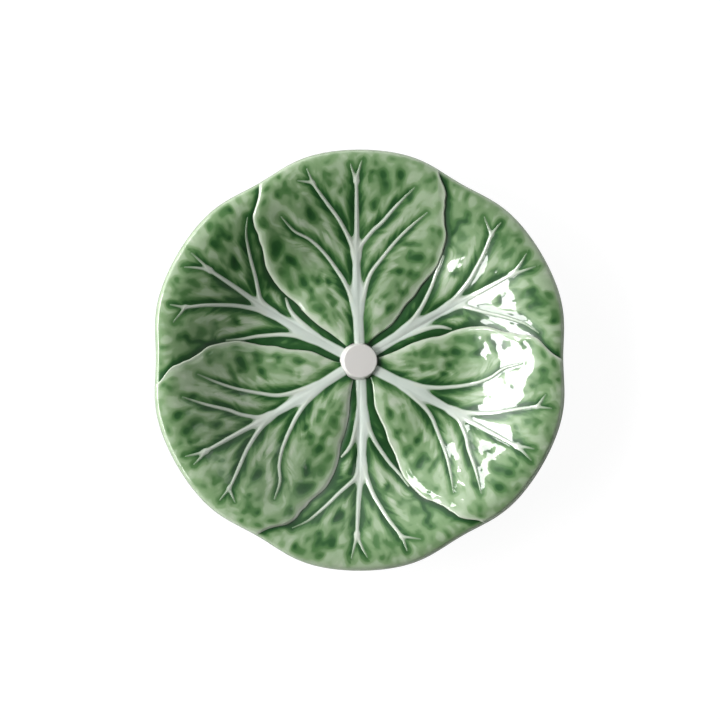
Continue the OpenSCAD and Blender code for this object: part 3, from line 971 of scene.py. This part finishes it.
def bare_clay():
    """The foot ring: glazed on its sides, and bare clay where it stands in the kiln."""
    glaze_line, line_wide, ragged = .0008, .00025, .0006
    material, w, shader, lie = glazed("bare_clay", {"Depth": .82, "Mottle": .5, "Mottle scale": 700.0}, coat=0.0)
    depth = lie.outputs["Depth"]
    clay = mix(w, depth, linear(222, 208, 186), linear(188, 168, 142))
    level = w.split(w.add("ShaderNodeTexCoord").outputs["Object"])[2]
    level = w.plus(level, w.times(w.minus(depth, .8), ragged))
    glazed_part = w.math("DIVIDE", w.minus(level, glaze_line), line_wide, clamp=True)
    w.put(mix(w, glazed_part, clay, ramp(w, depth, GREENS)), shader, "Base Color")
    w.put(w.minus(.75, w.times(glazed_part, .62)), shader, "Roughness")
    return material


LAY = laying_tree()
WHEEL = wheel_tree()
GLAZE = glaze_group()
leaf_green = leaf_glaze()
rib_white = rib_glaze()
button_white = button_glaze()
dish_green = dish_glaze()
foot_clay = bare_clay()


# Pieces

LEAVES = (("under", "back_right", 30), ("over", "back", 90), ("under", "back_left", 150),
          ("over", "front_left", 210), ("under", "front", 270), ("over", "front_right", 330))


def settle(piece, node):
    """Every piece rides on the one body and takes a solid's place."""
    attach(piece, "root")
    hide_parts(node)


def lay_leaves():
    """Carves a leaf and its ribs of each kind once, and lays them in their three places."""
    for kind in ("over", "under"):
        blade = leaf_master(kind + "_leaf_master", kind == "over")
        ribs = rib_master(kind + "_rib_master", kind == "over")
        for level, where, turn in LEAVES:
            if level != kind:
                continue
            common = {"Turn": math.radians(turn), "Seed": float(turn)}
            leaf = grow(f"{level}_leaf_{where}_glazed", LAY, {"Master": blade, "Glaze": leaf_green, **common})
            settle(leaf, f"{level}_leaf_{where}")
            rib = grow(f"ribs_{where}_glazed", LAY, {"Master": ribs, "Glaze": rib_white, **common})
            settle(rib, f"ribs_{where}")
        for master in (blade, ribs):
            bpy.data.objects.remove(master)


def throw_dish():
    """The dish under the leaves, from the middle of its top out over the rim and back under to the middle."""
    rim, rim_round, wall_from = np.array(1.0), 1.8, .36
    seam, low = float(seat(rim)), float(underside(rim))
    top = [(0, FLOOR_Z)] + [(PLATE_R * s, float(seat(np.array(s)))) for s in np.linspace(wall_from, 1, 60)]
    top[-1] = (PLATE_R - SEAM_TUCK / 2, seam)
    nose = [(PLATE_R - SEAM_TUCK / 4 - rim_round * (1 - math.cos(t)), seam - (seam - low) * math.sin(t))
            for t in np.linspace(.12, math.pi / 2, 12)]
    under = [(PLATE_R * s, float(underside(np.array(s))))
             for s in np.linspace(1 - rim_round / PLATE_R - .012, FLAT, 50)]
    middle = [(FOOT_R - 8, FOOT_H), (20, FOOT_H + .15), (0, FOOT_H + .2)]
    dish = throw("plate_body_glazed", top + nose + under + middle, {
        "Steps": 480, "Notch depth": NOTCH * MM, "Glaze": dish_green})
    settle(dish, "plate_body")


def throw_foot():
    """The ring that the plate stands on."""
    inner = FOOT_R - FOOT_W
    corners = [(inner + 2, FOOT_H + .3, 0), (inner - 1.2, FOOT_H + .12, .6), (inner, FOOT_H - .9, .6),
               (inner + .3, .8, .6), (inner + 1.0, 0, .5), (FOOT_R - 1.0, 0, .5), (FOOT_R - .2, .8, .6),
               (FOOT_R, FOOT_H - .7, .6), (FOOT_R + 1.2, FOOT_H + .1, .6), (FOOT_R - 2, FOOT_H + .3, 0),
               (inner + 2, FOOT_H + .3, 0)]
    foot = throw("foot_ring_clay", rounded(corners), {"Steps": 360, "Glaze": foot_clay})
    settle(foot, "foot_ring")


def throw_button():
    """The stalk button, whose top leans to the right a little."""
    top = FLOOR_Z + LEAF_T + BUTTON_PROUD
    foot = FLOOR_Z + .4
    corners = [(0, foot, 0), (BUTTON_R - .05, foot, .05), (BUTTON_R, FLOOR_Z + LEAF_T + .2, .6),
               (BUTTON_TOP_R + .3, top, .5), (0, top, 0)]
    button = throw("centre_button_glazed", rounded(corners, 10), {
        "Steps": 160, "Lean": .26, "Upright height": (top - 1.4) * MM, "Glaze": button_white})
    settle(button, "centre_button")


lay_leaves()
throw_dish()
throw_foot()
throw_button()


# Studio

# Name, azimuth and elevation in degrees, distance, width and height in metres, and how bright it looks
SOFT_BOXES = (
    ("window_left", 178, 37, 1.2, .66, .23, 16), ("low_window_left", 178, 26, 1.3, 1.6, .5, 2.2),
    ("window_front_left", 206, 37, 1.2, .20, .18, 13), ("window_back_left", 140, 37.5, 1.2, .28, .16, 13),
    ("far_wall_right", 38, 46, 1.2, .40, .22, .8), ("low_wall_right", 4, 20, 1.3, .9, .3, 1.5),
)


def studio_floor():
    """Pale paper that lights the plate as paper does, and that the camera sees as white but for the shadow."""
    far, drop, paper, seen_paper, glow = 3000, -.05, .86, .16, .94
    corners = ((-far, -far, drop), (far, -far, drop), (far, far, drop), (-far, far, drop))
    floor = plain_mesh("studio_floor", corners, [(0, 1, 2, 3)])
    material, w, shader = shaded("studio_paper", {
        "Roughness": .9, "Specular IOR Level": 0, "Emission Color": (1, 1, 1, 1)})
    path = w.add("ShaderNodeLightPath").outputs
    seen = w.math("MAXIMUM", path["Is Camera Ray"], path["Is Transmission Ray"])
    w.put(mix(w, seen, (paper,) * 3 + (1,), (seen_paper,) * 3 + (1,)), shader, "Base Color")
    w.put(w.times(seen, glow), shader, "Emission Strength")
    floor.data.materials.append(material)


def studio_air():
    """A sky that is white at the horizon and dim overhead, so the glaze isn't veiled from above,
    and brighter behind the plate's left than before its right."""
    world = bpy.data.worlds.new("studio_air")
    bpy.context.scene.world = world
    world.use_nodes = True
    w = Wiring(world.node_tree)
    place = w.split(w.add("ShaderNodeTexCoord").outputs["Generated"])
    fade = ramp(w, place[2], ((0.0, (1, 1, 1, 1)), (.22, (.85, .85, .85, 1)), (.5, (.20, .205, .21, 1)),
                              (1.0, (.05, .055, .06, 1))))
    level, dimmest = .92, .12
    window_side = w.minus(w.times(place[1], 1.1), place[0])
    lit = w.math("MAXIMUM", w.plus(level, window_side), dimmest)
    strength = w.math("MAXIMUM", lit, w.add("ShaderNodeLightPath").outputs["Is Camera Ray"])
    w.put_all(world.node_tree.nodes["Background"], {"Color": fade, "Strength": strength})


def soft_box(name, azimuth, elevation, away, wide, tall, radiance):
    """A window that faces the plate: azimuth is anticlockwise from +X."""
    light = bpy.data.lights.new(name, "AREA")
    light.shape = "RECTANGLE"
    light.size, light.size_y = wide, tall
    light.energy = radiance * math.pi * wide * tall
    a, e = math.radians(azimuth), math.radians(elevation)
    spot = Vector((math.cos(a) * math.cos(e), math.sin(a) * math.cos(e), math.sin(e))) * away
    lamp = linked(name, light)
    lamp.location = spot
    lamp.rotation_euler = (Vector((0, 0, .012)) - spot).to_track_quat("-Z", "Y").to_euler()


def studio_camera():
    """Looks down on the rim from 1 m away, a few degrees towards the front."""
    away, view_wide, lean, sensor = 1.0, .2809, math.radians(3.3), 36
    aim = Vector((.00018, -.00044, .024))
    lens = bpy.data.cameras.new("studio_camera")
    lens.sensor_width = sensor
    lens.lens = sensor * away / view_wide
    camera = linked("studio_camera", lens)
    camera.location = aim + away * Vector((0, -math.sin(lean), math.cos(lean)))
    camera.rotation_euler = (lean, 0, 0)
    bpy.context.scene.camera = camera


studio_floor()
studio_air()
for box in SOFT_BOXES:
    soft_box(*box)
studio_camera()
bpy.context.scene.view_settings.view_transform = "Standard"
